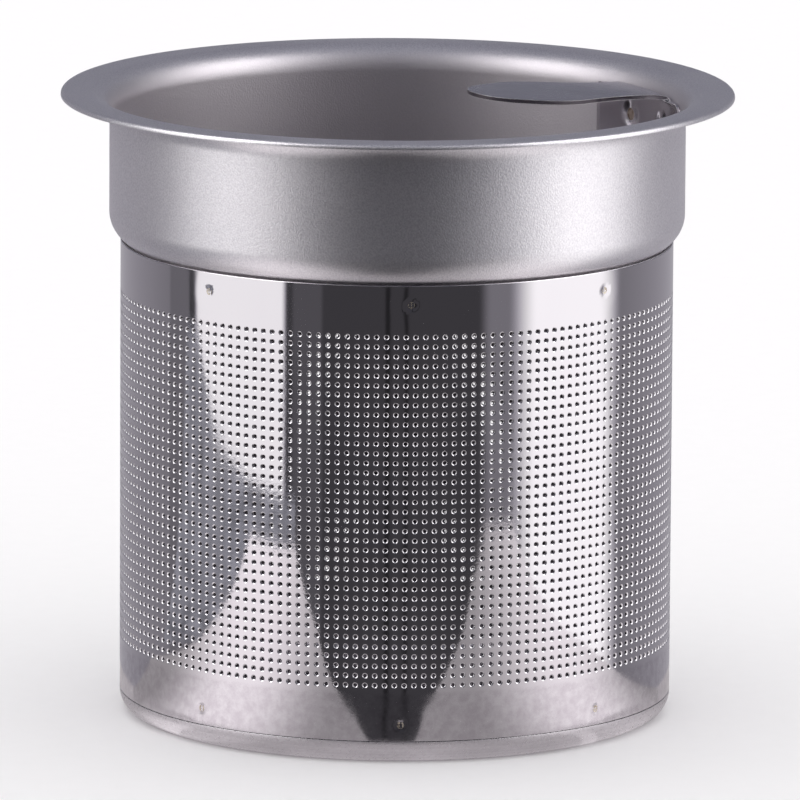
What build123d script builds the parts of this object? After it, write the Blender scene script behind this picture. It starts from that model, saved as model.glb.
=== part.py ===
from build123d import *
from math import cos, pi, radians, sin, tan
import os

# Tea-infuser basket strainer in stainless sheet, all of it spot-welded.
# Millimetres, +Z up along the basket's axis, origin at the centre of the
# resting face. Azimuths are degrees from +X towards +Y.

# ---- rim collar: flange, bell mouth, wall, shoulder and inner neck ----
total_height = 74.7
flange_radius = 40.0
flange_roll_radius = 0.5
flange_lip_height = 0.15
flange_edge_round = 0.1
collar_sheet = 0.36
wall_radius = 34.2
mouth_radius = 3.2
wall_foot_height = 60.2
shoulder_radius = 3.8
shoulder_turn = 51.0
neck_turn_radius = 0.5
neck_gap = 0.05
collar_neck_foot = 52.0

# ---- perforated sleeve, a rolled sheet with a lap seam at the back ----
sleeve_radius = 32.86
sleeve_sheet = 0.4
sleeve_foot = 2.72
sleeve_top = 56.9
lap_azimuth = 90.0
lap_width = 4.4
lap_step = 0.44
lap_joggle = 1.7
lap_gap_turn = 0.3

# ---- base pan: flat floor, rounded corner and a joggled inner neck ----
base_sheet = 0.4
base_corner_radius = 2.45
base_seam_height = 2.66
base_seam_round = 0.1
base_neck_joggle = 0.5
base_neck_top = 7.6

# ---- grip tab: a curved plate on the collar's wall, bent into a leaf ----
tab_sheet = 0.5
tab_azimuth = 26.0
tab_plate_width = 21.4
tab_plate_foot = 64.5
tab_plate_top = 72.3
tab_plate_corner = 1.0
tab_bend_radius = 1.2
tab_bend_height = 72.8
tab_tilt = 2.4
tab_tip_radius = 10.0
tab_cut_margin = 2.0
tab_leaf_turn = 70.0
# Half outline of the leaf: distance from the basket's axis, half width.
tab_leaf_outline = [(34.4, 7.6), (32.9, 6.6), (31.4, 5.5), (28.4, 5.35), (23.6, 6.6),
                    (19.0, 7.85), (14.6, 6.5), (11.2, 3.9), (tab_tip_radius, 0)]

# ---- spot welds ----
weld_radius = 0.75
weld_dimple = 0.06
body_weld_count = 8
collar_weld_height = 54.6
collar_weld_azimuth = -87.0
base_weld_height = 4.65
base_weld_azimuth = -88.7
tab_weld_height = 69.0
tab_weld_spread = 14.0
seam_weld_count = 9
seam_weld_foot = 8.0
seam_weld_top = 51.0

# ---- worked out from the above ----
sleeve_inner_radius = sleeve_radius - sleeve_sheet
neck_radius = sleeve_inner_radius - neck_gap
wall_inner_radius = wall_radius - collar_sheet
lap_turn = lap_width / sleeve_radius * 180 / pi
joggle_turn = lap_joggle / sleeve_radius * 180 / pi


def ring_point(radius, azimuth):
    return (radius * cos(radians(azimuth)), radius * sin(radians(azimuth)))


def sheet_section(path, sheet, side):
    """The cut face of a sheet whose one surface follows the path."""
    outline = offset(path, amount=sheet, side=side, closed=True)
    return make_face(outline.edges())


def rim_collar():
    """Flange with its edge rolled down, bell mouth, wall, shoulder and the neck inside the sleeve."""
    underside = total_height - collar_sheet
    bend = mouth_radius - collar_sheet
    roll_start = (flange_radius - flange_roll_radius, underside)
    shoulder_drop = shoulder_radius * sin(radians(shoulder_turn))
    shoulder_inset = shoulder_radius * (1 - cos(radians(shoulder_turn)))
    shoulder_end = (wall_radius - shoulder_inset, wall_foot_height - shoulder_drop)
    shoulder_slope = (sin(radians(shoulder_turn)), cos(radians(shoulder_turn)))
    turn_inset = neck_turn_radius * (1 - cos(radians(shoulder_turn)))
    slope_run = (shoulder_end[0] - neck_radius - turn_inset) / shoulder_slope[0]
    slope_foot = (shoulder_end[0] - slope_run * shoulder_slope[0],
                  shoulder_end[1] - slope_run * shoulder_slope[1])
    neck_top = slope_foot[1] - neck_turn_radius * sin(radians(shoulder_turn))
    with BuildLine(Plane.XZ) as path:
        Line((neck_radius, collar_neck_foot), (neck_radius, neck_top))
        JernArc((neck_radius, neck_top), (0, 1), neck_turn_radius, -shoulder_turn)
        Line(slope_foot, shoulder_end)
        JernArc(shoulder_end, shoulder_slope, shoulder_radius, shoulder_turn)
        Line((wall_radius, wall_foot_height), (wall_radius, underside - bend))
        JernArc((wall_radius, underside - bend), (0, 1), bend, -90)
        Line((wall_radius + bend, underside), roll_start)
        roll = JernArc(roll_start, (1, 0), flange_roll_radius - collar_sheet, -90)
        Line(roll @ 1, roll @ 1 - (0, flange_lip_height))
    collar = revolve(sheet_section(path.line, collar_sheet, Side.LEFT), Axis.Z)
    rim_edges = collar.edges().filter_by(GeomType.CIRCLE).sort_by(SortBy.RADIUS)[-2:]
    return fillet(rim_edges, flange_edge_round)


def sleeve_blank():
    """Plan of the rolled sheet: one turn, a small joggle, then the flap over the sheet's first end."""
    start = lap_azimuth - lap_turn / 2
    step_end = start - lap_gap_turn
    step_start = step_end - joggle_turn
    flap_end = lap_azimuth + lap_turn / 2
    half_turn = (start + step_start + 360) / 2
    inner, outer = sleeve_inner_radius, sleeve_radius
    with BuildSketch() as plan:
        with BuildLine():
            ThreePointArc(ring_point(outer, start), ring_point(outer, half_turn),
                          ring_point(outer, step_start))
            Line(ring_point(outer, step_start), ring_point(outer + lap_step, step_end))
            ThreePointArc(ring_point(outer + lap_step, step_end),
                          ring_point(outer + lap_step, lap_azimuth),
                          ring_point(outer + lap_step, flap_end))
            Line(ring_point(outer + lap_step, flap_end), ring_point(inner + lap_step, flap_end))
            ThreePointArc(ring_point(inner + lap_step, flap_end),
                          ring_point(inner + lap_step, lap_azimuth),
                          ring_point(inner + lap_step, step_end))
            Line(ring_point(inner + lap_step, step_end), ring_point(inner, step_start))
            ThreePointArc(ring_point(inner, step_start), ring_point(inner, half_turn),
                          ring_point(inner, start))
            Line(ring_point(inner, start), ring_point(outer, start))
        make_face()
    return plan.sketch


def perforated_sleeve():
    return Pos(0, 0, sleeve_foot) * extrude(sleeve_blank(), sleeve_top - sleeve_foot)


def base_pan():
    """Flat floor, rounded corner flush with the sleeve, and a joggled neck inside the sleeve."""
    outer = sleeve_radius
    inner = outer - base_sheet
    corner = base_corner_radius
    inner_corner = corner - base_sheet
    seam = base_seam_height
    neck_inner = neck_radius - base_sheet
    with BuildSketch(Plane.XZ) as section:
        with BuildLine():
            Line((0, 0), (outer - corner, 0))
            JernArc((outer - corner, 0), (1, 0), corner, 90)
            Line((outer, corner), (outer, seam - base_seam_round))
            JernArc((outer, seam - base_seam_round), (0, 1), base_seam_round, 90)
            Polyline((outer - base_seam_round, seam), (neck_radius, seam),
                     (neck_radius, base_neck_top), (neck_inner, base_neck_top),
                     (neck_inner, seam + base_neck_joggle), (inner, corner))
            JernArc((inner, corner), (0, -1), inner_corner, -90)
            Polyline((outer - corner, base_sheet), (0, base_sheet), (0, 0))
        make_face()
    return revolve(section.sketch, Axis.Z)


def tab_sheet_turned():
    """The tab's bent sheet, turned about the basket's axis before it is cut to its outline."""
    sheet_tip = tab_tip_radius - tab_cut_margin
    rise = (wall_inner_radius - tab_bend_radius - sheet_tip) * tan(radians(tab_tilt))
    bend_turn = 90 - tab_tilt
    with BuildLine(Plane.XZ) as path:
        wall = Line((wall_inner_radius, tab_plate_foot),
                    (wall_inner_radius, tab_bend_height - tab_bend_radius))
        bend = JernArc(wall @ 1, (0, 1), tab_bend_radius, bend_turn)
        Line(bend @ 1, (sheet_tip, tab_bend_height + rise))
    section = sheet_section(path.line, tab_sheet, Side.RIGHT)
    turned = revolve(section, Axis.Z, tab_leaf_turn)
    return Rot(0, 0, -tab_leaf_turn / 2) * turned


def tab_leaf_cutter():
    """Plan outline of the neck and leaf, pointing at the basket's axis."""
    mirrored = [(x, -y) for x, y in reversed(tab_leaf_outline[:-1])]
    with BuildSketch() as plan:
        with BuildLine():
            Spline(*tab_leaf_outline, *mirrored)
            Line(mirrored[-1], tab_leaf_outline[0])
        make_face()
    return extrude(plan.sketch, total_height)


def tab_plate_cutter():
    """The plate's rounded rectangle, as seen from the basket's axis."""
    height = tab_plate_top - tab_plate_foot
    face = RectangleRounded(tab_plate_width, height, tab_plate_corner)
    middle = tab_plate_foot + height / 2
    start = wall_inner_radius - tab_cut_margin
    facing = Plane(origin=(start, 0, middle), x_dir=(0, 1, 0), z_dir=(1, 0, 0))
    return extrude(facing * face, 2 * tab_cut_margin)


def grip_tab():
    sheet = tab_sheet_turned()
    leaf = sheet & tab_leaf_cutter()
    plate = sheet & tab_plate_cutter()
    return Rot(0, 0, tab_azimuth) * (leaf + plate)


def weld(inner, outer, azimuth, height, dimple):
    """A round plug along the radius through both sheets, short of each face by the dimple's depth."""
    length = outer - inner - 2 * dimple
    plug = Cylinder(weld_radius, length, align=(Align.CENTER, Align.CENTER, Align.MIN))
    place = Plane(origin=(*ring_point(inner + dimple, azimuth), height), x_dir=(0, 0, 1),
                  z_dir=(*ring_point(1, azimuth), 0))
    return place * plug


def body_welds(height, first_azimuth, sheet, dimple):
    step = 360 / body_weld_count
    return [weld(neck_radius - sheet, sleeve_radius, first_azimuth + i * step, height, dimple)
            for i in range(body_weld_count)]


def tab_welds(dimple):
    return [weld(wall_inner_radius - tab_sheet, wall_radius, tab_azimuth + side * tab_weld_spread / 2,
                 tab_weld_height, dimple) for side in (-1, 1)]


def seam_welds(dimple):
    step = (seam_weld_top - seam_weld_foot) / (seam_weld_count - 1)
    return [weld(sleeve_inner_radius, sleeve_radius + lap_step, lap_azimuth,
                 seam_weld_foot + i * step, dimple) for i in range(seam_weld_count)]


def weld_groups(dimple):
    """The four groups of spot welds: collar, base, tab and lap seam."""
    return (body_welds(collar_weld_height, collar_weld_azimuth, collar_sheet, dimple),
            body_welds(base_weld_height, base_weld_azimuth, base_sheet, dimple),
            tab_welds(dimple), seam_welds(dimple))


def pocketed(sheet, *pocket_groups):
    """The sheet with a pocket for each weld that joins it, open at the face that shows."""
    for group in pocket_groups:
        sheet = sheet - group
    return sheet


collar_nuggets, base_nuggets, tab_nuggets, seam_nuggets = weld_groups(weld_dimple)
collar_pockets, base_pockets, tab_pockets, seam_pockets = weld_groups(-weld_dimple)

nodes = {
    "rim_collar": pocketed(rim_collar(), collar_pockets, tab_pockets),
    "perforated_sleeve": pocketed(perforated_sleeve(), collar_pockets, base_pockets, seam_pockets),
    "base_pan": pocketed(base_pan(), base_pockets),
    "grip_tab": pocketed(grip_tab(), tab_pockets),
    "collar_spot_welds": Compound(collar_nuggets),
    "base_spot_welds": Compound(base_nuggets),
    "tab_spot_welds": Compound(tab_nuggets),
    "seam_spot_welds": Compound(seam_nuggets),
}

os.makedirs("parts", exist_ok=True)
for name, shape in nodes.items():
    export_step(shape, f"parts/{name}.step")
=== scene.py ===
from math import cos, hypot, pi, radians, sin

import bpy
import numpy as np
from mathutils import Matrix, Vector
from mathutils.geometry import delaunay_2d_cdt


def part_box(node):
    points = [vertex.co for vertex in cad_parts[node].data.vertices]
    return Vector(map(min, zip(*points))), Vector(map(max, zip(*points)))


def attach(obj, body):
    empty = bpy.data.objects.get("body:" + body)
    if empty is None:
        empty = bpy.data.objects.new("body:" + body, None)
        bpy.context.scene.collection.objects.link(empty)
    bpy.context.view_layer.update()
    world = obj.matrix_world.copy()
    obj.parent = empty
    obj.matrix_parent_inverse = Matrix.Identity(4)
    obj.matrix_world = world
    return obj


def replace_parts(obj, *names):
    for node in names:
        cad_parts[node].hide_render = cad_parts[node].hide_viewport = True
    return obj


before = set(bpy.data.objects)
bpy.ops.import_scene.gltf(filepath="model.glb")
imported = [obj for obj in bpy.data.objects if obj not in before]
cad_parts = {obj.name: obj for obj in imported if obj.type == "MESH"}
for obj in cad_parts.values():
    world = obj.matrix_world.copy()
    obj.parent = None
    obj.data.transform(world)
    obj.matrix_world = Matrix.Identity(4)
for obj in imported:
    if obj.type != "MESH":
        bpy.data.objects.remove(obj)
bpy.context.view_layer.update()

# A tea-infuser strainer basket in stainless sheet. Metres, +Z up along the
# basket's axis, resting face at z = 0, the camera on the -Y side. Azimuths are
# radians from +X towards +Y, so the front of the basket is at -90 degrees.

MM = 0.001

# ---- sizes read from the frame ----
COLLAR_LOW, COLLAR_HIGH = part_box("rim_collar")
SLEEVE_LOW, SLEEVE_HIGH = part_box("perforated_sleeve")
PAN_LOW, PAN_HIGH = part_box("base_pan")
FLANGE_RADIUS = COLLAR_HIGH.x
RIM_TOP = COLLAR_HIGH.z
NECK_FOOT = COLLAR_LOW.z
SLEEVE_RADIUS = SLEEVE_HIGH.x
SLEEVE_FOOT = SLEEVE_LOW.z
SLEEVE_TOP = SLEEVE_HIGH.z
LAP_RADIUS = SLEEVE_HIGH.y
PAN_NECK_TOP = PAN_HIGH.z
TAB_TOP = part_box("grip_tab")[1].z

# ---- sheet thicknesses, bends and gaps, the same as in the CAD parts ----
COLLAR_SHEET = 0.36 * MM
WALL_RADIUS = 34.2 * MM
WALL_FOOT = 60.2 * MM
MOUTH_RADIUS = 3.2 * MM
ROLL_RADIUS = 0.5 * MM
LIP_HEIGHT = 0.15 * MM
LIP_ROUND = 0.1 * MM
SHOULDER_RADIUS = 3.8 * MM
SHOULDER_TURN = radians(51)
NECK_TURN_RADIUS = 0.5 * MM
SLEEVE_SHEET = 0.4 * MM
NECK_GAP = 0.05 * MM
NECK_RADIUS = SLEEVE_RADIUS - SLEEVE_SHEET - NECK_GAP
TOP_EDGE_ROUND = 0.12 * MM
FOOT_EDGE_ROUND = 0.04 * MM
PAN_SHEET = 0.4 * MM
PAN_CORNER_RADIUS = 2.45 * MM
PAN_SEAM_HEIGHT = 2.66 * MM
PAN_SEAM_ROUND = 0.04 * MM
PAN_JOGGLE = 0.5 * MM

# ---- how finely each stretch of a section, and each turn, is divided ----
COLLAR_TURN_STEPS = 480
NECK_STEPS = 6
NECK_BEND_STEPS = 5
SHOULDER_STEPS = 12
WALL_STEPS = 36
MOUTH_STEPS = 16
FLANGE_STEPS = 6
ROLL_STEPS = 7
TOP_BAND_ROWS = 19
FOOT_BAND_ROWS = 21
SEAM_ROWS = 181
JOGGLE_COLUMNS = 11
FLAP_COLUMNS = 33
UNDER_COLUMNS = 24
PAN_TURN_STEPS = 240
PAN_CORNER_STEPS = 12
PAN_SEAM_STEPS = 4
EDGE_ANGLES = (30, 60, 90)

# ---- perforation ----
FRONT = radians(-90)
BACK = radians(90)
HOLE_SIDES = 12
HOLE_ROWS = 37
HOLE_COLUMNS = 173
COLUMN_PITCH = radians(2.013)
ROW_PITCH = 1.151 * MM
FIRST_ROW = 9.36 * MM
HOLE_RADIUS = 0.21 * MM
HOLE_BEVEL = 0.14 * MM
HOLE_BEVEL_DEPTH = 0.10 * MM
HOLE_BEVEL_TILTS = (radians(20), radians(35), radians(52))
SLEEVE_PANELS = 5
FLOOR_PITCH = 1.15 * MM
FLOOR_HOLES_RADIUS = 26.0 * MM
FLOOR_PLATE_RADIUS = 28.0 * MM
FLOOR_HOLE_ROUND = 0.06 * MM

# ---- lap seam at the back of the sleeve ----
LAP_HALF_TURN = 2.2 * MM / SLEEVE_RADIUS
LAP_JOGGLE_TURN = radians(1.7)
LAP_END_GAP = radians(0.3)

# ---- pressed marks of the spot welds: (reach, depth) of a small dent in a wide one ----
MARK_SHAPES = [(1.0 * MM, 0.07 * MM), (2.6 * MM, 0.012 * MM)]
MARK_CORE = 0.42 * MM
MARK_STAND = 0.004 * MM
MARK_RINGS = (1, 0.7, 0.4, 0.1)
BODY_MARKS = 8
COLLAR_MARKS_START = radians(-87)
BASE_MARKS_START = radians(-88.7)
TAB_MARK_AZIMUTH = radians(26)
TAB_MARK_SPREAD = radians(14)
SEAM_MARKS = 9

# Corners closer than this are one vertex.
SAME_POINT = 1e-8
# Decimal places at which shares of a cell's edge, and places on the floor, count as equal.
SHARE_PLACES = 6
FLOOR_PLACES = 7
CUT_TOLERANCE = 1e-9


# ---------------------------------------------------------------- meshes


class Skin:
    """Faces gathered with a normal at each corner, then joined into one mesh."""

    def __init__(self):
        self.points = []
        self.normals = []

    def add(self, points, normals):
        sides = points.shape[-2]
        self.points.append(points.reshape(-1, sides, 3))
        self.normals.append(np.broadcast_to(normals, points.shape).reshape(-1, sides, 3))

    def grid(self, points, normals):
        """Quads of a grid of rows and columns of points."""
        low, high = slice(None, -1), slice(1, None)
        corners = [(low, low), (low, high), (high, high), (high, low)]
        self.add(np.stack([points[c] for c in corners], axis=-2),
                 np.stack([normals[c] for c in corners], axis=-2))

    def ring(self, outer, inner, outer_normals, inner_normals):
        """Quads between two closed rings; the last axis but one goes round the ring."""
        def corners(a, b):
            return np.stack([a, np.roll(a, -1, -2), np.roll(b, -1, -2), b], axis=-2)
        self.add(corners(outer, inner), corners(outer_normals, inner_normals))

    def piece(self, name, material):
        flat = np.concatenate([p.reshape(-1, 3) for p in self.points])
        normals = np.concatenate([n.reshape(-1, 3) for n in self.normals])
        totals = np.concatenate([np.full(len(p), p.shape[1]) for p in self.points])
        keys = np.round(flat / SAME_POINT).astype(np.int64)
        _, first, index = np.unique(keys, axis=0, return_index=True, return_inverse=True)
        mesh = bpy.data.meshes.new(name)
        mesh.vertices.add(len(first))
        mesh.vertices.foreach_set("co", flat[first].ravel())
        mesh.loops.add(len(flat))
        mesh.loops.foreach_set("vertex_index", index.ravel().astype(np.int32))
        mesh.polygons.add(len(totals))
        mesh.polygons.foreach_set("loop_start", (np.cumsum(totals) - totals).astype(np.int32))
        mesh.polygons.foreach_set("use_smooth", np.ones(len(totals), dtype=bool))
        mesh.update(calc_edges=True)
        lengths = np.linalg.norm(normals, axis=1, keepdims=True)
        mesh.normals_split_custom_set((normals / lengths).tolist())
        mesh.materials.append(material)
        obj = bpy.data.objects.new(name, mesh)
        bpy.context.collection.objects.link(obj)
        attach(obj, "root")
        return obj


def axes(azimuth):
    """Unit vectors outwards, along the turn and up at an azimuth."""
    azimuth = np.asarray(azimuth)
    zero = np.zeros_like(azimuth)
    outward = np.stack([np.cos(azimuth), np.sin(azimuth), zero], axis=-1)
    along = np.stack([-np.sin(azimuth), np.cos(azimuth), zero], axis=-1)
    up = np.stack([zero, zero, zero + 1], axis=-1)
    return outward, along, up


def dents(marks, azimuth, height, radius):
    """Depth of the weld marks at a place on a wall, and its slope along the turn and up."""
    depth = np.zeros(np.broadcast(azimuth, height).shape)
    slope_along = np.zeros_like(depth)
    slope_up = np.zeros_like(depth)
    for mark_azimuth, mark_height in marks:
        along = ((azimuth - mark_azimuth + pi) % (2 * pi) - pi) * radius
        up = height - mark_height
        for reach, deepest in MARK_SHAPES:
            bowl = np.clip(1 - (along ** 2 + up ** 2) / reach ** 2, 0, None)
            depth += deepest * bowl ** 2
            slope_along += -4 * deepest * bowl * along / reach ** 2
            slope_up += -4 * deepest * bowl * up / reach ** 2
    return depth, slope_along, slope_up


def turn(skin, profile, azimuths, marks=()):
    """Turns a profile of (radius, height, normal out, normal up) about the axis, with its marks."""
    profile = np.array(profile)[:, None, :]
    radius, height, normal_out, normal_up = np.moveaxis(profile, -1, 0)
    outward, along, up = axes(azimuths[None, :])
    depth, slope_along, slope_up = dents(marks, azimuths[None, :], height, radius)
    radius = radius - depth * normal_out
    points = radius[..., None] * outward + (height + 0 * radius)[..., None] * up
    normals = normal_out[..., None] * outward + normal_up[..., None] * up
    upright = np.abs(normal_out)
    normals = normals + (upright * slope_along)[..., None] * along + (upright * slope_up)[..., None] * up
    skin.grid(points, normals)


def full_turn(count):
    """Azimuths once round, closed on the first one."""
    azimuths = np.arange(count + 1) % count
    return azimuths * (2 * pi / count)


class SheetPath:
    """A sheet's section walked as lines and bends: its right face, with the sheet to the left."""

    def __init__(self, start, heading):
        self.point = np.array(start)
        self.heading = heading
        self.stops = [(self.point, self.left())]

    def left(self):
        return np.array([-sin(self.heading), cos(self.heading)])

    def line(self, length, steps=1):
        ahead = np.array([cos(self.heading), sin(self.heading)])
        start = self.point
        for i in range(1, steps + 1):
            self.stops.append((start + ahead * (length * i / steps), self.left()))
        self.point = start + ahead * length

    def bend(self, radius, angle, steps):
        """Turns left for a positive angle and right for a negative one."""
        side = 1 if angle > 0 else -1
        centre = self.point + self.left() * (side * radius)
        for _ in range(steps):
            self.heading += angle / steps
            self.stops.append((centre - self.left() * (side * radius), self.left()))
        self.point = self.stops[-1][0]

    def profile(self, sheet, end_round):
        """Right face, rounded end and left face, as one profile with normals."""
        right = [(*p, *-left) for p, left in self.stops]
        inside = [(*(p + left * sheet), *left) for p, left in reversed(self.stops)]
        ahead = np.array([cos(self.heading), sin(self.heading)])
        end, left = self.stops[-1]
        cap = []
        for side, centre, angles in ((-1, end + left * end_round, EDGE_ANGLES),
                                     (1, end + left * (sheet - end_round), EDGE_ANGLES[::-1])):
            for angle in angles:
                normal = ahead * sin(radians(angle)) + left * (side * cos(radians(angle)))
                cap.append((*(centre + normal * end_round), *normal))
        return right + cap + inside


def around(first, count):
    return [first + i * 2 * pi / count for i in range(count)]


def middle_height(node):
    low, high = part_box(node)
    return (low.z + high.z) / 2


def collar_marks():
    return [(a, middle_height("collar_spot_welds")) for a in around(COLLAR_MARKS_START, BODY_MARKS)]


def base_marks():
    return [(a, middle_height("base_spot_welds")) for a in around(BASE_MARKS_START, BODY_MARKS)]


def tab_marks():
    return [(TAB_MARK_AZIMUTH + side * TAB_MARK_SPREAD / 2, middle_height("tab_spot_welds"))
            for side in (-1, 1)]


def seam_marks():
    low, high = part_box("seam_spot_welds")
    radius = (high.x - low.x) / 2
    heights = np.linspace(low.z + radius, high.z - radius, SEAM_MARKS)
    return [(BACK, h) for h in heights]


def weld_spots(name, node, marks, outer_radius, inner_radius, material):
    """The melted core of each spot weld: a plug through the sheets, dished with its mark."""
    skin = Skin()
    ring_angles = np.arange(HOLE_SIDES) * (2 * pi / HOLE_SIDES)
    for azimuth, height in marks:
        def cap(radius, share, inward):
            along = MARK_CORE * share * np.cos(ring_angles)
            rise = MARK_CORE * share * np.sin(ring_angles)
            place = azimuth + along / radius
            depth, slope_along, slope_up = dents([(azimuth, height)], place, height + rise, radius)
            outward, tangent, up = axes(place)
            side = -1 if inward else 1
            far = radius - side * (depth - MARK_STAND)
            points = far[:, None] * outward + (height + rise)[:, None] * up
            normals = side * outward + slope_along[:, None] * tangent + slope_up[:, None] * up
            return points, normals
        for radius, inward in ((outer_radius, False), (inner_radius, True)):
            rings = [cap(radius, share, inward) for share in MARK_RINGS]
            for (wide, wide_normals), (tight, tight_normals) in zip(rings, rings[1:]):
                if inward:
                    skin.ring(tight, wide, tight_normals, wide_normals)
                else:
                    skin.ring(wide, tight, wide_normals, tight_normals)
            tight, tight_normals = rings[-1]
            centre = tight.mean(axis=0)
            centre_normal = tight_normals.mean(axis=0)
            for i in range(HOLE_SIDES):
                j = (i + 1) % HOLE_SIDES
                a, b = (j, i) if inward else (i, j)
                skin.add(np.stack([tight[a], tight[b], centre]),
                         np.stack([tight_normals[a], tight_normals[b], centre_normal]))
        outer_ring = cap(outer_radius, 1, False)[0]
        inner_ring = cap(inner_radius, 1, True)[0]
        sideways = outer_ring - outer_ring.mean(axis=0)
        skin.ring(inner_ring, outer_ring, sideways, sideways)
    spots = skin.piece(name, material)
    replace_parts(spots, node)


# ---------------------------------------------------------------- rim collar


def rim_collar(material):
    """Neck, shoulder, wall, bell mouth, flange and its rolled edge, turned as one sheet."""
    bends = NECK_TURN_RADIUS + SHOULDER_RADIUS
    slope_run = (WALL_RADIUS - NECK_RADIUS - bends * (1 - cos(SHOULDER_TURN))) / sin(SHOULDER_TURN)
    neck_top = WALL_FOOT - bends * sin(SHOULDER_TURN) - slope_run * cos(SHOULDER_TURN)
    underside = RIM_TOP - COLLAR_SHEET
    mouth_bend = MOUTH_RADIUS - COLLAR_SHEET
    path = SheetPath((NECK_RADIUS, NECK_FOOT), radians(90))
    path.line(neck_top - NECK_FOOT, NECK_STEPS)
    path.bend(NECK_TURN_RADIUS, -SHOULDER_TURN, NECK_BEND_STEPS)
    path.line(slope_run)
    path.bend(SHOULDER_RADIUS, SHOULDER_TURN, SHOULDER_STEPS)
    path.line(underside - mouth_bend - WALL_FOOT, WALL_STEPS)
    path.bend(mouth_bend, radians(-90), MOUTH_STEPS)
    path.line(FLANGE_RADIUS - ROLL_RADIUS - WALL_RADIUS - mouth_bend, FLANGE_STEPS)
    path.bend(ROLL_RADIUS - COLLAR_SHEET, radians(-90), ROLL_STEPS)
    path.line(LIP_HEIGHT - LIP_ROUND)
    skin = Skin()
    azimuths = full_turn(COLLAR_TURN_STEPS)
    turn(skin, path.profile(COLLAR_SHEET, LIP_ROUND), azimuths, tab_marks())
    foot = [(NECK_RADIUS - COLLAR_SHEET, NECK_FOOT, 0, -1), (NECK_RADIUS, NECK_FOOT, 0, -1)]
    turn(skin, foot, azimuths)
    collar = skin.piece("collar", material)
    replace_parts(collar, "rim_collar")


# ---------------------------------------------------------------- perforated sleeve


def hole_angles():
    """Directions of a hole's corners from its middle; every third one points at the cell's corner."""
    return (np.arange(HOLE_SIDES) + 0.5) * (2 * pi / HOLE_SIDES)


def cell_edge():
    """Points of a unit square round a hole, one in each of its corners' directions."""
    angles = hole_angles()
    reach = np.maximum(np.abs(np.cos(angles)), np.abs(np.sin(angles)))
    return np.cos(angles) / reach, np.sin(angles) / reach


def sleeve_cells(skin, azimuths, heights):
    """The perforated field: a square cell of sheet round each bevelled hole."""
    azimuth = azimuths[:, None, None]
    height = heights[None, :, None]
    edge_along, edge_up = cell_edge()
    angles = hole_angles()

    def ring(along, up, depth, tilt):
        """A ring of points round each hole; tilt turns the normal from outwards to the hole's axis."""
        place = azimuth + along + 0 * height
        outward, tangent, rise = axes(place)
        points = (SLEEVE_RADIUS - depth) * outward + (height + up + 0 * azimuth)[..., None] * rise
        aside = np.cos(angles)[:, None] * tangent + np.sin(angles)[:, None] * rise
        return points, cos(tilt) * outward - sin(tilt) * aside

    def circle(radius, depth, tilt):
        return ring(radius * np.cos(angles) / SLEEVE_RADIUS, radius * np.sin(angles), depth, tilt)

    edge = ring(edge_along * COLUMN_PITCH / 2, edge_up * ROW_PITCH / 2, 0, 0)
    chain = [edge, circle(HOLE_RADIUS + HOLE_BEVEL, 0, 0)]
    for share, tilt in zip((0, 0.5, 1), HOLE_BEVEL_TILTS):
        chain.append(circle(HOLE_RADIUS + HOLE_BEVEL * (1 - share), HOLE_BEVEL_DEPTH * share, tilt))
    wall = [circle(HOLE_RADIUS, depth, pi / 2) for depth in (HOLE_BEVEL_DEPTH, SLEEVE_SHEET)]
    for outside, inside in (chain[:2], chain[2:4], chain[3:], wall):
        skin.ring(outside[0], inside[0], outside[1], inside[1])
    back_hole, back_normals = circle(HOLE_RADIUS, SLEEVE_SHEET, pi)
    back_edge, back_edge_normals = ring(edge_along * COLUMN_PITCH / 2, edge_up * ROW_PITCH / 2,
                                        SLEEVE_SHEET, pi)
    skin.ring(back_hole, back_edge, back_normals, back_edge_normals)


def plain_band(rows, end, easing):
    """Profile of a plain band from its outer face, over the rounded end and down the inner face."""
    up = 1 if end > rows[-1] else -1
    radius = SLEEVE_RADIUS
    inner = radius - SLEEVE_SHEET
    outside = [(radius, h, 1, 0) for h in rows]
    inside = [(inner, h, -1, 0) for h in reversed(rows)]
    over = []
    beyond = [180 - angle for angle in reversed(EDGE_ANGLES)]
    for centre, angles in ((radius - easing, EDGE_ANGLES), (inner + easing, beyond)):
        for angle in angles:
            out, rise = cos(radians(angle)), sin(radians(angle)) * up
            over.append((centre + easing * out, end - up * easing + easing * rise, out, rise))
    profile = outside + over + inside
    return profile if up > 0 else profile[::-1]


def sleeve_panels(material):
    """The perforated sheet with its plain bands, in panels that meet edge to edge."""
    columns = FRONT + (np.arange(HOLE_COLUMNS) - (HOLE_COLUMNS - 1) / 2) * COLUMN_PITCH
    heights = FIRST_ROW + np.arange(HOLE_ROWS) * ROW_PITCH
    top_rows = np.linspace(heights[-1] + ROW_PITCH / 2, SLEEVE_TOP - TOP_EDGE_ROUND, TOP_BAND_ROWS)
    foot_rows = np.linspace(heights[0] - ROW_PITCH / 2, SLEEVE_FOOT + FOOT_EDGE_ROUND, FOOT_BAND_ROWS)
    top_band = plain_band(list(top_rows), SLEEVE_TOP, TOP_EDGE_ROUND)
    foot_band = plain_band(list(foot_rows), SLEEVE_FOOT, FOOT_EDGE_ROUND)
    edge_along = np.unique(np.round(cell_edge()[0], SHARE_PLACES))[:-1]
    marks = collar_marks() + base_marks()
    for number, panel in enumerate(np.array_split(columns, SLEEVE_PANELS), start=1):
        edges = (panel[:, None] + edge_along[None, :] * COLUMN_PITCH / 2).ravel()
        edges = np.append(edges, panel[-1] + COLUMN_PITCH / 2)
        skin = Skin()
        sleeve_cells(skin, panel, heights)
        turn(skin, top_band, edges, marks)
        turn(skin, foot_band, edges, marks)
        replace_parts(skin.piece(f"sleeve_panel_{number}", material),
                    "perforated_sleeve")


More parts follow.
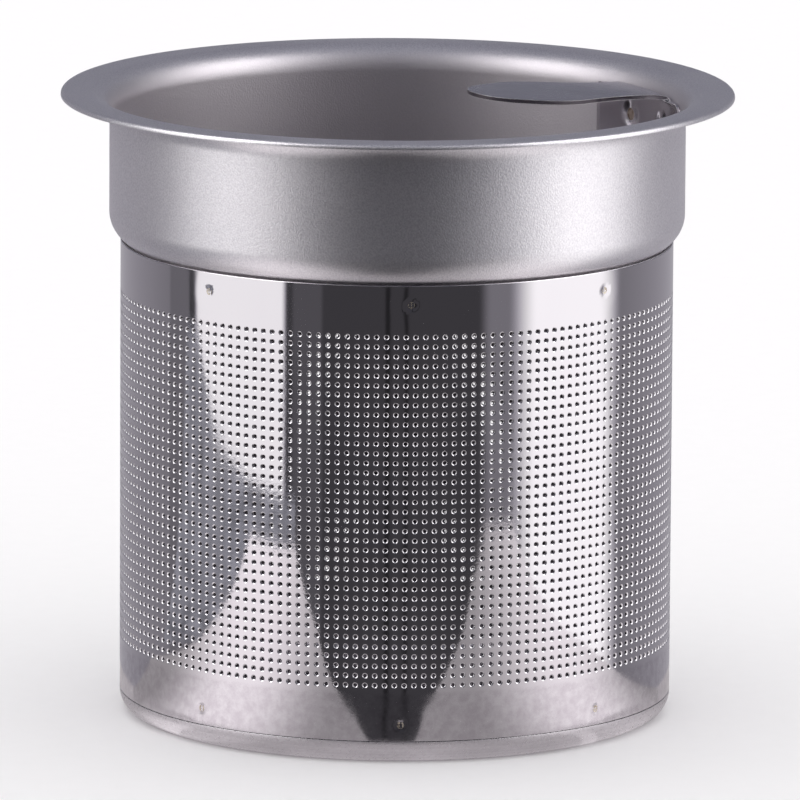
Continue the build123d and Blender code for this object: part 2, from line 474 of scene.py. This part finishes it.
def sheet_strip(skin, azimuths, radii, marks):
    """An upright strip of sheet whose outer face follows the radii, closed at its sides."""
    heights = np.linspace(SLEEVE_FOOT, SLEEVE_TOP, SEAM_ROWS)[:, None]
    outward, along, up = axes(azimuths[None, :])
    lean = np.gradient(radii, azimuths) / radii
    depth, slope_along, slope_up = dents(marks, azimuths[None, :], heights, SLEEVE_RADIUS)
    outer = (radii - depth)[..., None] * outward + heights[..., None] * up
    outer_normals = outward + (slope_along - lean)[..., None] * along + slope_up[..., None] * up
    inner = (radii - SLEEVE_SHEET + 0 * depth)[..., None] * outward + heights[..., None] * up
    inner_normals = -(outward - lean[..., None] * along) + 0 * outer
    skin.grid(outer, outer_normals)
    skin.grid(inner[:, ::-1], inner_normals[:, ::-1])
    for row, normal in ((0, -1), (-1, 1)):
        rim = np.stack([outer[row], inner[row]] if normal > 0 else [inner[row], outer[row]])
        skin.grid(rim, np.broadcast_to([0.0, 0.0, normal], rim.shape))
    for column, side in ((0, -1), (-1, 1)):
        faces = [inner[:, column], outer[:, column]] if side < 0 else [outer[:, column], inner[:, column]]
        rim = np.stack(faces, axis=1)
        skin.grid(rim, np.broadcast_to(side * along[0, column], rim.shape))


def lap_seam(material):
    """The plain strip at the back, where the sheet's raised flap laps over its first end."""
    field = HOLE_COLUMNS * COLUMN_PITCH / 2
    under_start = FRONT + field
    under_end = FRONT - field + 2 * pi
    lap_start = BACK - LAP_HALF_TURN
    lap_end = BACK + LAP_HALF_TURN
    joggle_end = lap_start - LAP_END_GAP
    joggle = np.linspace(joggle_end - LAP_JOGGLE_TURN, joggle_end, JOGGLE_COLUMNS)
    ease = (1 - np.cos(np.linspace(0, pi, JOGGLE_COLUMNS))) / 2
    flap = np.concatenate([[under_start], joggle, np.linspace(lap_start, lap_end, FLAP_COLUMNS)])
    raised = np.concatenate([[0], ease, np.ones(FLAP_COLUMNS)])
    skin = Skin()
    sheet_strip(skin, flap, SLEEVE_RADIUS + (LAP_RADIUS - SLEEVE_RADIUS) * raised, seam_marks())
    under = np.linspace(lap_start, under_end, UNDER_COLUMNS)
    sheet_strip(skin, under, np.full(UNDER_COLUMNS, SLEEVE_RADIUS), ())
    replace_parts(skin.piece("sleeve_lap_seam", material), "perforated_sleeve")


# ---------------------------------------------------------------- base pan


def quarter_turn(steps):
    return [radians(90 * i / steps) for i in range(steps + 1)]


def base_pan(material):
    """The rounded corner and the joggled neck, turned round the perforated floor."""
    outer = SLEEVE_RADIUS
    corner = outer - PAN_CORNER_RADIUS
    inner_corner = PAN_CORNER_RADIUS - PAN_SHEET
    outside = [(FLOOR_PLATE_RADIUS, 0, 0, -1)]
    for angle in quarter_turn(PAN_CORNER_STEPS):
        outside.append((corner + PAN_CORNER_RADIUS * sin(angle), PAN_CORNER_RADIUS * (1 - cos(angle)),
                        sin(angle), -cos(angle)))
    seam_round_foot = PAN_SEAM_HEIGHT - PAN_SEAM_ROUND
    for angle in quarter_turn(PAN_SEAM_STEPS):
        outside.append((outer - PAN_SEAM_ROUND * (1 - cos(angle)),
                        seam_round_foot + PAN_SEAM_ROUND * sin(angle), cos(angle), sin(angle)))
    outside.append((NECK_RADIUS, PAN_SEAM_HEIGHT, 0, 1))
    neck = [(NECK_RADIUS, PAN_SEAM_HEIGHT, 1, 0), (NECK_RADIUS, PAN_NECK_TOP, 1, 0)]
    neck_top = [(NECK_RADIUS, PAN_NECK_TOP, 0, 1), (NECK_RADIUS - PAN_SHEET, PAN_NECK_TOP, 0, 1)]
    inside = [(NECK_RADIUS - PAN_SHEET, PAN_NECK_TOP, -1, 0),
              (NECK_RADIUS - PAN_SHEET, PAN_SEAM_HEIGHT + PAN_JOGGLE, -1, 0)]
    for angle in quarter_turn(PAN_CORNER_STEPS):
        inside.append((corner + inner_corner * cos(angle), PAN_CORNER_RADIUS - inner_corner * sin(angle),
                       -cos(angle), sin(angle)))
    inside.append((FLOOR_PLATE_RADIUS, PAN_SHEET, 0, 1))
    skin = Skin()
    azimuths = full_turn(PAN_TURN_STEPS)
    for profile in (outside, neck, neck_top, inside):
        turn(skin, profile, azimuths)
    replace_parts(skin.piece("base_pan_shell", material), "base_pan")


def floor_cells():
    reach = int(FLOOR_HOLES_RADIUS / FLOOR_PITCH)
    places = range(-reach, reach + 1)
    return {(i, j) for i in places for j in places if hypot(i, j) * FLOOR_PITCH <= FLOOR_HOLES_RADIUS}


def floor_margin(cells):
    """Triangles between the stepped edge of the perforated field and the plate's round edge."""
    shares = sorted(set(np.round(cell_edge()[0], SHARE_PLACES)))
    half = FLOOR_PITCH / 2
    points = []
    edges = []
    places = {}

    def place(x, y):
        key = (round(x * 10 ** FLOOR_PLACES), round(y * 10 ** FLOOR_PLACES))
        if key not in places:
            places[key] = len(points)
            points.append(Vector((x, y)))
        return places[key]

    for i, j in sorted(cells):
        middle = (i * FLOOR_PITCH, j * FLOOR_PITCH)
        for di, dj in ((1, 0), (-1, 0), (0, 1), (0, -1)):
            if (i + di, j + dj) in cells:
                continue
            side = [(middle[0] + half * (di if di else s), middle[1] + half * (dj if dj else s))
                    for s in shares]
            stops = [place(*p) for p in side]
            edges += list(zip(stops, stops[1:]))
    rim = [place(FLOOR_PLATE_RADIUS * cos(a), FLOOR_PLATE_RADIUS * sin(a))
           for a in full_turn(PAN_TURN_STEPS)[:-1]]
    edges += list(zip(rim, rim[1:] + rim[:1]))
    verts, _, faces, *_ = delaunay_2d_cdt(points, edges, [], 0, CUT_TOLERANCE)
    kept = []
    for face in faces:
        x = sum(verts[k].x for k in face) / 3
        y = sum(verts[k].y for k in face) / 3
        if (round(x / FLOOR_PITCH), round(y / FLOOR_PITCH)) not in cells:
            kept.append([(verts[k].x, verts[k].y) for k in face])
    return np.array(kept)


def base_floor(material):
    """The flat perforated plate in the middle of the base."""
    cells = floor_cells()
    middles = np.array(sorted(cells))[:, None, :] * FLOOR_PITCH
    angles = hole_angles()
    edge = np.stack(cell_edge(), axis=-1) * FLOOR_PITCH / 2
    circle = np.stack([np.cos(angles), np.sin(angles)], axis=-1)
    hole_normals = np.concatenate([-circle, np.zeros((HOLE_SIDES, 1))], axis=-1)

    def ring(offsets, height):
        flat = middles + offsets
        return np.concatenate([flat, np.full(flat.shape[:-1] + (1,), height)], axis=-1)

    def level(points, rise):
        return np.broadcast_to([0.0, 0.0, rise], points.shape)

    top_edge = ring(edge, PAN_SHEET)
    top_hole = ring(circle * (HOLE_RADIUS + FLOOR_HOLE_ROUND), PAN_SHEET)
    throat = ring(circle * HOLE_RADIUS, PAN_SHEET - FLOOR_HOLE_ROUND)
    low_hole = ring(circle * HOLE_RADIUS, 0)
    low_edge = ring(edge, 0)
    walls = np.broadcast_to(hole_normals, throat.shape)
    skin = Skin()
    skin.ring(top_edge, top_hole, level(top_edge, 1), level(top_hole, 1))
    skin.ring(top_hole, throat, level(top_hole, 1), walls)
    skin.ring(throat, low_hole, walls, walls)
    skin.ring(low_hole, low_edge, level(low_hole, -1), level(low_edge, -1))
    margin = floor_margin(cells)
    for height, rise in ((PAN_SHEET, 1), (0, -1)):
        faces = np.concatenate([margin, np.full(margin.shape[:-1] + (1,), height)], axis=-1)
        faces = faces if rise > 0 else faces[:, ::-1]
        skin.add(faces, level(faces, rise))
    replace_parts(skin.piece("base_pan_floor", material), "base_pan")


# ---------------------------------------------------------------- materials


class Nodes:
    """A small helper that adds shader nodes and links them."""

    def __init__(self, tree):
        self.tree = tree
        tree.nodes.clear()

    def add(self, kind, inputs=(), **settings):
        node = self.tree.nodes.new(kind)
        for key, value in settings.items():
            setattr(node, key, value)
        for key, value in dict(inputs).items():
            if isinstance(value, bpy.types.NodeSocket):
                self.tree.links.new(value, node.inputs[key])
            else:
                node.inputs[key].default_value = value
        return node

    def maths(self, operation, *values):
        return self.add("ShaderNodeMath", dict(enumerate(values)), operation=operation).outputs[0]

    def remap(self, value, low, high, to_low, to_high, smooth=False):
        """Carries value from low..high to to_low..to_high, clamped."""
        kind = "SMOOTHSTEP" if smooth else "LINEAR"
        inputs = {"Value": value, "From Min": low, "From Max": high, "To Min": to_low, "To Max": to_high}
        return self.add("ShaderNodeMapRange", inputs, interpolation_type=kind).outputs[0]

    def place(self):
        return self.add("ShaderNodeTexCoord").outputs["Object"]

    def stretched(self, vector, scale):
        return self.add("ShaderNodeMapping", {"Vector": vector, "Scale": scale}).outputs[0]

    def noise(self, vector, scale, detail=2.0, roughness=0.5, distortion=0.0):
        inputs = {"Vector": vector, "Scale": scale, "Detail": detail, "Roughness": roughness,
                  "Distortion": distortion}
        return self.add("ShaderNodeTexNoise", inputs).outputs[0]

    def colour_mix(self, factor, a, b):
        node = self.add("ShaderNodeMix", data_type="RGBA")
        for socket, value in ((0, factor), (6, a), (7, b)):
            if isinstance(value, bpy.types.NodeSocket):
                self.tree.links.new(value, node.inputs[socket])
            else:
                node.inputs[socket].default_value = value
        return node.outputs[2]

    def bump(self, height, strength, distance, under=None):
        inputs = {"Height": height, "Strength": strength, "Distance": distance}
        if under is not None:
            inputs["Normal"] = under
        return self.add("ShaderNodeBump", inputs).outputs[0]


def new_material(name):
    material = bpy.data.materials.new(name)
    material.use_nodes = True
    return material, Nodes(material.node_tree)


def steel_shader(nodes, colour, roughness, normal):
    shader = nodes.add("ShaderNodeBsdfPrincipled",
                       {"Base Color": colour, "Roughness": roughness, "Normal": normal, "Metallic": 1.0})
    nodes.add("ShaderNodeOutputMaterial", {"Surface": shader.outputs[0]})


def facing_out(nodes, place):
    """1 where a face looks straight out from the axis, -1 where it looks straight in."""
    flat = nodes.add("ShaderNodeVectorMath", {0: place, 1: (1, 1, 0)}, operation="MULTIPLY").outputs[0]
    outward = nodes.add("ShaderNodeVectorMath", {0: flat}, operation="NORMALIZE").outputs[0]
    facing = nodes.add("ShaderNodeNewGeometry").outputs["Normal"]
    return nodes.add("ShaderNodeVectorMath", {0: outward, 1: facing}, operation="DOT_PRODUCT").outputs[1]


def satin_steel():
    """Bead-blasted steel with an even matt grain, rougher on the inside of the wall, where painted shade
    darkens the colour.
    """
    material, nodes = new_material("satin_steel_blasted")
    place = nodes.place()
    inside = nodes.remap(facing_out(nodes, place), -0.6, -0.95, 0, 1, smooth=True)
    grain = nodes.noise(nodes.stretched(place, (1, 1, 0.85)), 5200, 1.5, 0.6)
    blotches = nodes.noise(place, 90, 2.0)
    colour = nodes.colour_mix(nodes.remap(grain, 0.3, 0.7, 0, 1), (0.80, 0.775, 0.81, 1),
                              (1.0, 0.975, 1.0, 1))
    # Painted shade: inward-facing faces get a darker colour inside the collar.
    colour = nodes.colour_mix(nodes.maths("MULTIPLY", inside, 0.8), colour, (0.58, 0.545, 0.57, 1))
    roughness = nodes.remap(blotches, 0.3, 0.7, 0.39, 0.43)
    roughness = nodes.maths("ADD", roughness, nodes.maths("MULTIPLY", inside, 0.08))
    steel_shader(nodes, colour, roughness, nodes.bump(grain, 0.8, 0.035 * MM))
    return material


def polished_steel():
    """Polished steel: rougher round the holes with a painted highlight there, painted shade in the holes and
    inside, grained between them, frosted below.
    """
    material, nodes = new_material("polished_steel_mirror")
    place = nodes.place()
    height = nodes.add("ShaderNodeSeparateXYZ", {0: place}).outputs[2]
    upright = facing_out(nodes, place)
    bevel_rough_and_painted_glint = nodes.remap(upright, 0.97, 0.85, 0, 1, smooth=True)
    painted_shade_inward = nodes.remap(upright, 0.5, 0.2, 0, 1, smooth=True)
    smears = nodes.noise(nodes.stretched(place, (1, 1, 0.45)), 70, 3.0, 0.6, 0.4)
    grain = nodes.noise(place, 3000, 2.0)
    mottle = nodes.noise(place, 900, 3.0, 0.6)
    waves = nodes.noise(place, 55, 1.0)
    top_row = FIRST_ROW + (HOLE_ROWS - 1) * ROW_PITCH
    field = nodes.remap(height, top_row + 1.2 * MM, top_row - 0.4 * MM, 0, 1, smooth=True)
    frost = nodes.remap(height, FIRST_ROW - 0.55 * MM, FIRST_ROW - 1.3 * MM, 0, 1, smooth=True)
    smear_roughness = nodes.remap(smears, 0.5, 0.75, 0.05, 0.1, smooth=True)
    frost_roughness = nodes.maths("MULTIPLY", frost, nodes.remap(grain, 0.3, 0.7, 0.03, 0.07))
    bevel_roughness = nodes.maths("MULTIPLY", bevel_rough_and_painted_glint, 0.3)
    roughness = nodes.maths("ADD", nodes.maths("ADD", smear_roughness, frost_roughness), bevel_roughness)
    colour = nodes.colour_mix(smears, (0.68, 0.655, 0.685, 1), (0.74, 0.715, 0.74, 1))
    stain = nodes.maths("MULTIPLY", frost, nodes.remap(mottle, 0.35, 0.65, 0, 1))
    colour = nodes.colour_mix(stain, colour, (0.60, 0.565, 0.60, 1))
    # Painted highlight: the hole rims get a near-white colour.
    colour = nodes.colour_mix(bevel_rough_and_painted_glint, colour, (0.86, 0.84, 0.86, 1))
    # Painted shade: the hole bores and the sleeve's inner face get a dark colour.
    colour = nodes.colour_mix(painted_shade_inward, colour, (0.30, 0.28, 0.29, 1))
    swell = nodes.bump(waves, 0.1, 0.05 * MM)
    grit = nodes.maths("ADD", nodes.maths("MULTIPLY", field, 0.09), nodes.maths("MULTIPLY", frost, -0.04))
    normal = nodes.bump(grain, nodes.maths("ADD", grit, 0.015), 0.02 * MM, swell)
    steel_shader(nodes, colour, roughness, normal)
    return material


def base_steel():
    """Spun satin steel with faint rings round the axis."""
    material, nodes = new_material("base_steel_spun")
    place = nodes.place()
    split = nodes.add("ShaderNodeSeparateXYZ", {0: place})
    radius = nodes.maths("SQRT", nodes.maths("ADD", nodes.maths("POWER", split.outputs[0], 2.0),
                                             nodes.maths("POWER", split.outputs[1], 2.0)))
    section = nodes.add("ShaderNodeCombineXYZ", {0: radius, 2: split.outputs[2]}).outputs[0]
    rings = nodes.noise(section, 3500, 3.0, 0.7)
    grain = nodes.noise(place, 2500, 2.0)
    tone = nodes.maths("ADD", nodes.maths("MULTIPLY", rings, 0.6), nodes.maths("MULTIPLY", grain, 0.4))
    colour = nodes.colour_mix(nodes.remap(tone, 0.35, 0.65, 0, 1), (0.62, 0.595, 0.62, 1),
                              (0.75, 0.725, 0.75, 1))
    roughness = nodes.remap(grain, 0.3, 0.7, 0.26, 0.34)
    steel_shader(nodes, colour, roughness, nodes.bump(tone, 0.16, 0.02 * MM))
    return material


def tab_steel():
    """Smooth mill-finish steel with a painted highlight along its edges and painted shade on the steep faces
    near its top, pressed in at its two welds.
    """
    material, nodes = new_material("tab_steel_mill")
    place = nodes.place()
    rolled = nodes.noise(nodes.stretched(place, (1, 0.15, 1)), 1800, 2.0)
    clouds = nodes.noise(place, 160, 2.0)
    eased = nodes.add("ShaderNodeBevel", {"Radius": 0.12 * MM}, samples=6).outputs[0]
    facing = nodes.add("ShaderNodeNewGeometry").outputs["Normal"]
    edge = nodes.add("ShaderNodeVectorMath", {0: eased, 1: facing}, operation="DOT_PRODUCT").outputs[1]
    edge_rough_and_painted_glint = nodes.remap(edge, 0.985, 0.93, 0, 1, smooth=True)
    colour = nodes.colour_mix(clouds, (0.62, 0.595, 0.63, 1), (0.76, 0.735, 0.77, 1))
    height = nodes.add("ShaderNodeSeparateXYZ", {0: place}).outputs[2]
    tilt = nodes.add("ShaderNodeSeparateXYZ", {0: facing}).outputs[2]
    tongue = nodes.remap(height, TAB_TOP - 1.2 * MM, TAB_TOP - 0.9 * MM, 0, 1)
    painted_top_shade = nodes.maths("MULTIPLY", tongue, nodes.remap(tilt, 0.6, 0.3, 0, 1))
    # Painted shade: the steep faces in the top millimetre of the tab get a dark band.
    colour = nodes.colour_mix(painted_top_shade, colour, (0.30, 0.28, 0.30, 1))
    # Painted highlight: the tab's edges get a near-white colour and are made rougher.
    colour = nodes.colour_mix(edge_rough_and_painted_glint, colour, (1.0, 0.97, 0.98, 1))
    roughness = nodes.remap(clouds, 0.3, 0.7, 0.12, 0.2)
    roughness = nodes.maths("ADD", roughness, nodes.maths("MULTIPLY", edge_rough_and_painted_glint, 0.4))
    pressed = 0.0
    for azimuth, height in tab_marks():
        far = WALL_RADIUS - COLLAR_SHEET
        spot = (far * cos(azimuth), far * sin(azimuth), height)
        reach = nodes.add("ShaderNodeVectorMath", {0: place, 1: spot}, operation="DISTANCE").outputs[1]
        dent = nodes.remap(reach, 0.5 * MM, 2.2 * MM, 0, 1, smooth=True)
        pressed = nodes.maths("ADD", pressed, dent)
    dented = nodes.bump(pressed, 1.0, 0.3 * MM)
    steel_shader(nodes, colour, roughness, nodes.bump(rolled, 0.12, 0.01 * MM, dented))
    return material


def weld_steel(name, dark, light):
    """The slightly rough, straw-tinted core of a spot weld."""
    material, nodes = new_material(name)
    place = nodes.place()
    pits = nodes.noise(place, 5000, 3.0, 0.7)
    tint = nodes.noise(place, 1500, 1.0)
    colour = nodes.colour_mix(nodes.remap(tint, 0.35, 0.65, 0, 1), dark, light)
    roughness = nodes.remap(pits, 0.3, 0.7, 0.4, 0.55)
    steel_shader(nodes, colour, roughness, nodes.bump(pits, 0.5, 0.03 * MM))
    return material


# ---------------------------------------------------------------- studio

# Studio light that the steel mirrors. Degrees of azimuth from straight ahead of
# the camera side, positive to the right, and of elevation.
FRONT_LEVEL = 0.055
BACK_LEVEL = 0.42
HIGH_BACK_LEVEL = 0.18
ZENITH_LEVEL = 0.20
LEFT_SOFTBOX = (-91.9, -47.5, 1.5)
RIGHT_SOFTBOX = (54, 101, 7)
SOFTBOX_TOP = 52
LEFT_GAIN = 3.2
RIGHT_GAIN = 2.5
LEFT_LOW_LEVEL = 1.13
RIGHT_LOW_LEVEL = 1.29
SOFTBOX_CLIMB = (4, 32)
SOFTBOX_FADE = 6
# Grey and dark panels: from, to and softness of the edges, in azimuth; then their levels.
LEFT_GAP = (-109, -90, 1.0)
LEFT_GAP_LEVEL = 0.17
LEFT_EDGE = (-96.3, -90, 0.8)
LEFT_EDGE_LEVEL = 0.05
LEFT_GREY = (-43.7, -31, 1.0)
LEFT_GREY_LEVEL = 0.10
RIGHT_GREY = (37, 56, 3)
RIGHT_GREY_LEVEL = 0.22
POLES = ((-4.5, -2.5, 0.6), (3.5, 5.0, 0.6))
POLE_LEVEL = 0.02
BEHIND = (55, 170)
HORIZON = (-8, 6)
ZENITH_CLIMB = (15, 60)
ROOM_LIGHT = 1.07


def window(nodes, value, low, high, soft):
    """1 between low and high, 0 outside, with soft edges."""
    rise = nodes.remap(value, low - soft, low + soft, 0, 1, smooth=True)
    fall = nodes.remap(value, high - soft, high + soft, 1, 0, smooth=True)
    return nodes.maths("MULTIPLY", rise, fall)


def azimuth_of(nodes, x, y):
    """Degrees from the camera side, positive to the right."""
    angle = nodes.maths("ARCTAN2", x, nodes.maths("MULTIPLY", y, -1.0))
    return nodes.maths("DEGREES", angle)


def studio_level(nodes, azimuth, elevation):
    """What the steel sees of the room at an azimuth and an elevation."""
    away = nodes.maths("ABSOLUTE", azimuth)
    back = nodes.remap(elevation, *HORIZON, BACK_LEVEL, HIGH_BACK_LEVEL, smooth=True)
    level = nodes.remap(away, *BEHIND, FRONT_LEVEL, back)

    def blend(level, share, target):
        part = nodes.maths("MULTIPLY", share, nodes.maths("SUBTRACT", target, level))
        return nodes.maths("ADD", level, part)

    level = blend(level, window(nodes, azimuth, *RIGHT_GREY), RIGHT_GREY_LEVEL)
    level = blend(level, window(nodes, azimuth, *LEFT_GREY), LEFT_GREY_LEVEL)
    level = blend(level, window(nodes, azimuth, *LEFT_GAP), LEFT_GAP_LEVEL)
    level = blend(level, window(nodes, azimuth, *LEFT_EDGE), LEFT_EDGE_LEVEL)
    for pole in POLES:
        level = blend(level, window(nodes, azimuth, *pole), POLE_LEVEL)
    level = blend(level, nodes.remap(elevation, *ZENITH_CLIMB, 0, 1, smooth=True), ZENITH_LEVEL)
    lit = nodes.remap(elevation, SOFTBOX_TOP - SOFTBOX_FADE, SOFTBOX_TOP + SOFTBOX_FADE, 1, 0, smooth=True)
    for softbox, low_level, gain in ((LEFT_SOFTBOX, LEFT_LOW_LEVEL, LEFT_GAIN),
                                     (RIGHT_SOFTBOX, RIGHT_LOW_LEVEL, RIGHT_GAIN)):
        box_level = nodes.remap(elevation, *SOFTBOX_CLIMB, low_level, low_level * gain, smooth=True)
        level = blend(level, nodes.maths("MULTIPLY", lit, window(nodes, azimuth, *softbox)), box_level)
    return level


def studio_world():
    """Soft white light, with softboxes and dark gaps that only reflections see."""
    world = bpy.data.worlds.new("studio")
    world.use_nodes = True
    world.cycles.sampling_method = "NONE"
    bpy.context.scene.world = world
    nodes = Nodes(world.node_tree)
    direction = nodes.add("ShaderNodeSeparateXYZ", {0: nodes.add("ShaderNodeTexCoord").outputs["Generated"]})
    x, y, z = direction.outputs
    elevation = nodes.maths("DEGREES", nodes.maths("ARCSINE", z))
    level = studio_level(nodes, azimuth_of(nodes, x, y), elevation)
    mirrored = nodes.add("ShaderNodeLightPath").outputs["Is Glossy Ray"]
    shares = {0: mirrored, 2: ROOM_LIGHT, 3: level}
    strength = nodes.add("ShaderNodeMix", shares, data_type="FLOAT").outputs[0]
    cool = nodes.maths("MULTIPLY", mirrored, nodes.remap(level, 0.3, 0.9, 1, 0))
    high = nodes.remap(elevation, *HORIZON, 0, 1, smooth=True)
    dim = nodes.colour_mix(high, (1.0, 0.965, 1.07, 1), (0.97, 0.98, 1.18, 1))
    colour = nodes.colour_mix(cool, (1.0, 0.99, 1.0, 1), dim)
    shade = nodes.add("ShaderNodeBackground", {"Color": colour, "Strength": strength})
    nodes.add("ShaderNodeOutputWorld", {"Surface": shade.outputs[0]})


def stage_mesh(name, points, faces, material):
    mesh = bpy.data.meshes.new(name)
    mesh.from_pydata(points, [], faces)
    mesh.materials.append(material)
    obj = bpy.data.objects.new(name, mesh)
    bpy.context.collection.objects.link(obj)
    return obj


FLOOR_REACH = 4.0


def floor():
    """The pale floor under the basket, which the steel doesn't mirror."""
    material, nodes = new_material("pale_floor")
    speckle = nodes.noise(nodes.place(), 400, 2.0)
    colour = nodes.colour_mix(speckle, (0.93, 0.925, 0.93, 1), (0.95, 0.945, 0.95, 1))
    shader = nodes.add("ShaderNodeBsdfDiffuse", {"Color": colour})
    nodes.add("ShaderNodeOutputMaterial", {"Surface": shader.outputs[0]})
    corners = [(-FLOOR_REACH, -FLOOR_REACH, 0), (FLOOR_REACH, -FLOOR_REACH, 0),
               (FLOOR_REACH, FLOOR_REACH, 0), (-FLOOR_REACH, FLOOR_REACH, 0)]
    obj = stage_mesh("floor", corners, [(0, 1, 2, 3)], material)
    obj.visible_glossy = False


# The lit table top that only reflections see, from above: a pale ring round the foot,
# two lit fields that leave a dark gap in front, and a hazy field. Their outlines are
# fitted to where the sleeve's reflections end at the camera's angle. Millimetres.
RING_INNER = 30.0
RING_OUTER = 45.5
RING_STEPS = 72
LEFT_FIELD = [(-5, -45.2), (-12, -58.5), (-22, -69), (-31, -77.5), (-42, -88), (-49.5, -97), (-98, -126),
              (-137, -90), (-85, -21), (-67, 9), (-44, 6)]
RIGHT_FIELD = [(4, -45.2), (44, 9), (77, -16), (86, -30), (124, -122), (100, -145), (66, -122),
               (42, -97), (30, -87), (19, -75), (10, -63)]
HAZE_FIELD = [(-85, -21), (-137, -90), (-98, -126), (-120, -150), (-147, -129), (-181, -95), (-218, -59),
              (-300, -20), (-300, 15), (-80, 5)]
TABLE_DROP = 0.2 * MM
TABLE_LEVEL = 0.38
LEFT_LIT = (-72, -34, 16)
LEFT_LIT_LEVEL = 0.76
RIGHT_LIT = (42, 80, 18)
RIGHT_LIT_LEVEL = 0.72


def emission_shader(nodes, colour, level):
    shader = nodes.add("ShaderNodeEmission", {"Color": colour, "Strength": level})
    nodes.add("ShaderNodeOutputMaterial", {"Surface": shader.outputs[0]})


def table_material():
    """Lit from both sides: brightest to the left and right of the camera side."""
    material, nodes = new_material("lit_table")
    split = nodes.add("ShaderNodeSeparateXYZ", {0: nodes.place()})
    azimuth = azimuth_of(nodes, split.outputs[0], split.outputs[1])
    left = nodes.maths("MULTIPLY", window(nodes, azimuth, *LEFT_LIT), LEFT_LIT_LEVEL)
    right = nodes.maths("MULTIPLY", window(nodes, azimuth, *RIGHT_LIT), RIGHT_LIT_LEVEL)
    level = nodes.maths("ADD", nodes.maths("ADD", left, right), TABLE_LEVEL)
    emission_shader(nodes, (1.0, 0.955, 0.98, 1), level)
    return material


def ring_material():
    """The even pale light close round the foot."""
    material, nodes = new_material("lit_ring")
    clouds = nodes.noise(nodes.place(), 120, 2.0)
    emission_shader(nodes, (1.0, 0.945, 0.98, 1), nodes.remap(clouds, 0.3, 0.7, 0.46, 0.56))
    return material


def haze_material():
    """A dim, cloudy patch of the table beyond the left field."""
    material, nodes = new_material("hazy_table")
    clouds = nodes.noise(nodes.place(), 60, 3.0, 0.6)
    emission_shader(nodes, (0.95, 0.96, 1.08, 1), nodes.remap(clouds, 0.35, 0.65, 0.16, 0.42))
    return material


def mirrored_card(name, outline, faces, material):
    """A card at floor level that only reflections see."""
    points = [(x * MM, y * MM, -TABLE_DROP) for x, y in outline]
    card = stage_mesh(name, points, faces, material)
    card.visible_camera = False
    card.visible_diffuse = False
    card.visible_shadow = False
    card.visible_transmission = False


def mirrored_table():
    lit = table_material()
    for name, outline, material in (("table_left", LEFT_FIELD, lit), ("table_right", RIGHT_FIELD, lit),
                                    ("table_haze", HAZE_FIELD, haze_material())):
        mirrored_card(name, outline, [range(len(outline))], material)
    ring = [(far * cos(a), far * sin(a)) for far in (RING_INNER, RING_OUTER)
            for a in full_turn(RING_STEPS)[:-1]]
    faces = [(i, (i + 1) % RING_STEPS, RING_STEPS + (i + 1) % RING_STEPS, RING_STEPS + i)
             for i in range(RING_STEPS)]
    mirrored_card("table_ring", ring, faces, ring_material())


# ---- camera: a long lens from a little above ----
CAMERA_ELEVATION = radians(10.57)
CAMERA_DISTANCE = 1530.6 * MM
CAMERA_ROLL = radians(0.344)
CAMERA_LENS = 578.3
SENSOR_WIDTH = 36.0
LOOK_HEIGHT = 40.38 * MM
LOOK_RIGHT = 0.47 * MM
LOOK_DOWN = 3.04 * MM
VIEW_END = 100


def camera():
    data = bpy.data.cameras.new("camera")
    data.lens = CAMERA_LENS
    data.sensor_width = SENSOR_WIDTH
    data.clip_end = VIEW_END
    obj = bpy.data.objects.new("camera", data)
    bpy.context.collection.objects.link(obj)
    right = Vector((1, 0, 0))
    up = Vector((0, sin(CAMERA_ELEVATION), cos(CAMERA_ELEVATION)))
    back = Vector((0, -cos(CAMERA_ELEVATION), sin(CAMERA_ELEVATION)))
    target = Vector((0, 0, LOOK_HEIGHT)) + right * LOOK_RIGHT - up * LOOK_DOWN
    turned = Matrix((right, up, back)).transposed().to_4x4()
    obj.matrix_world = (Matrix.Translation(target + back * CAMERA_DISTANCE) @ turned
                        @ Matrix.Rotation(CAMERA_ROLL, 4, "Z"))
    bpy.context.scene.camera = obj


# ---------------------------------------------------------------- the scene

camera()
studio_world()
floor()
mirrored_table()
bpy.context.scene.view_settings.view_transform = "Standard"

SATIN = satin_steel()
POLISHED = polished_steel()
BASE = base_steel()
WELD = weld_steel("weld_steel_core", (0.52, 0.45, 0.37, 1), (0.88, 0.80, 0.67, 1))
TAB_WELD = weld_steel("weld_steel_scorched", (0.28, 0.20, 0.15, 1), (0.60, 0.50, 0.42, 1))

rim_collar(SATIN)
sleeve_panels(POLISHED)
lap_seam(POLISHED)
base_pan(BASE)
base_floor(BASE)

for node, material in (("grip_tab", tab_steel()), ("tab_spot_welds", TAB_WELD)):
    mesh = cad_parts[node].data
    mesh.materials.clear()
    mesh.materials.append(material)

weld_spots("collar_weld_marks", "collar_spot_welds", collar_marks(), SLEEVE_RADIUS,
           NECK_RADIUS - COLLAR_SHEET, WELD)
weld_spots("base_weld_marks", "base_spot_welds", base_marks(), SLEEVE_RADIUS,
           NECK_RADIUS - PAN_SHEET, WELD)
weld_spots("seam_weld_marks", "seam_spot_welds", seam_marks(), LAP_RADIUS,
           SLEEVE_RADIUS - SLEEVE_SHEET, WELD)
